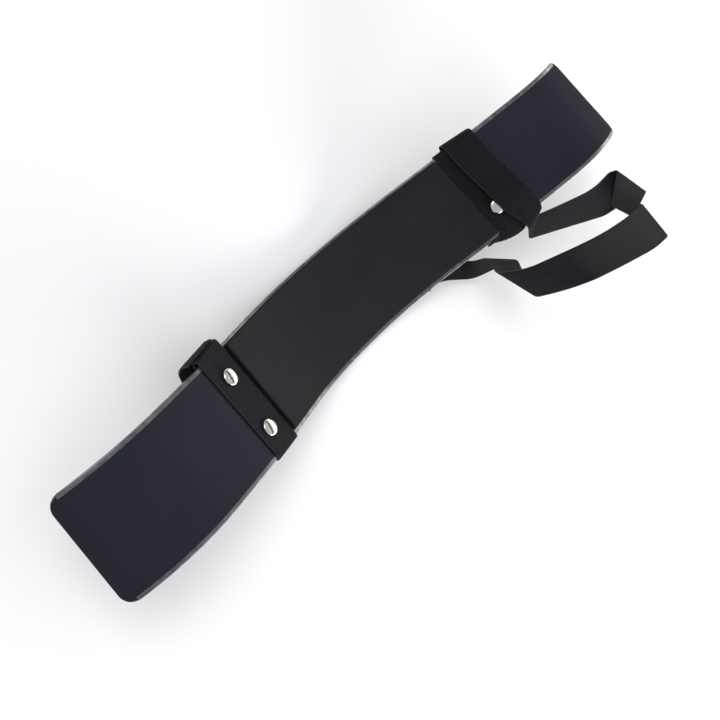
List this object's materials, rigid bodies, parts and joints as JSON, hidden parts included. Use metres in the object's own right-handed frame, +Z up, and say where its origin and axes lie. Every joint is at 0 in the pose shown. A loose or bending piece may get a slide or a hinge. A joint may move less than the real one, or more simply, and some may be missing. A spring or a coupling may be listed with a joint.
{
  "type": "arm blaster",
  "caption": "Curved aluminium arm brace for biceps curls, with foam belly and elbow pads, riveted webbing bands and an adjustable neck strap.",
  "frame": {"origin": "on the floor, on the flat underside of the strap that the plate rests on, under the middle of the plate", "axes": "+X along the plate towards the end where the neck strap hangs free, +Y across the plate to its upper edge in use, +Z up, out of the belly side"},
  "size_m": [0.5848, 0.1862, 0.0963],
  "materials": {
    "painted_plate": "satin black paint on aluminium sheet",
    "foam_pad": "matte black closed-cell foam",
    "webbing": "black ribbed webbing",
    "rivet_metal": "polished nickel plate",
    "slide_plastic": "moulded black plastic"
  },
  "bodies": {
    "root": {"plate": "painted_plate", "belly_pad": "foam_pad", "left_elbow_pad": "foam_pad", "right_elbow_pad": "foam_pad", "left_band": "webbing", "right_band": "webbing", "left_upper_rivet_cap": "rivet_metal", "left_upper_rivet_back": "rivet_metal", "left_lower_rivet_cap": "rivet_metal", "left_lower_rivet_back": "rivet_metal", "right_upper_rivet_cap": "rivet_metal", "right_upper_rivet_back": "rivet_metal", "right_lower_rivet_cap": "rivet_metal", "right_lower_rivet_back": "rivet_metal", "left_strap": "webbing"},
    "neck_loop": {"neck_strap": "webbing"},
    "slide": {"strap_slide": "slide_plastic"}
  },
  "joints": [
    {"name": "neck_loop_swing", "type": "hinge", "parent": "root", "child": "neck_loop", "pos_m": [0.13, -0.046, 0.038], "axis": [-0.83, 0, -0.5578], "range_deg": [0, 60], "deforming": ["neck_strap"]},
    {"name": "slide_travel", "type": "slide", "parent": "root", "child": "slide", "axis": [0.9455, -0.3256, 0], "range_m": [-0.003, 0.008]}
  ]
}
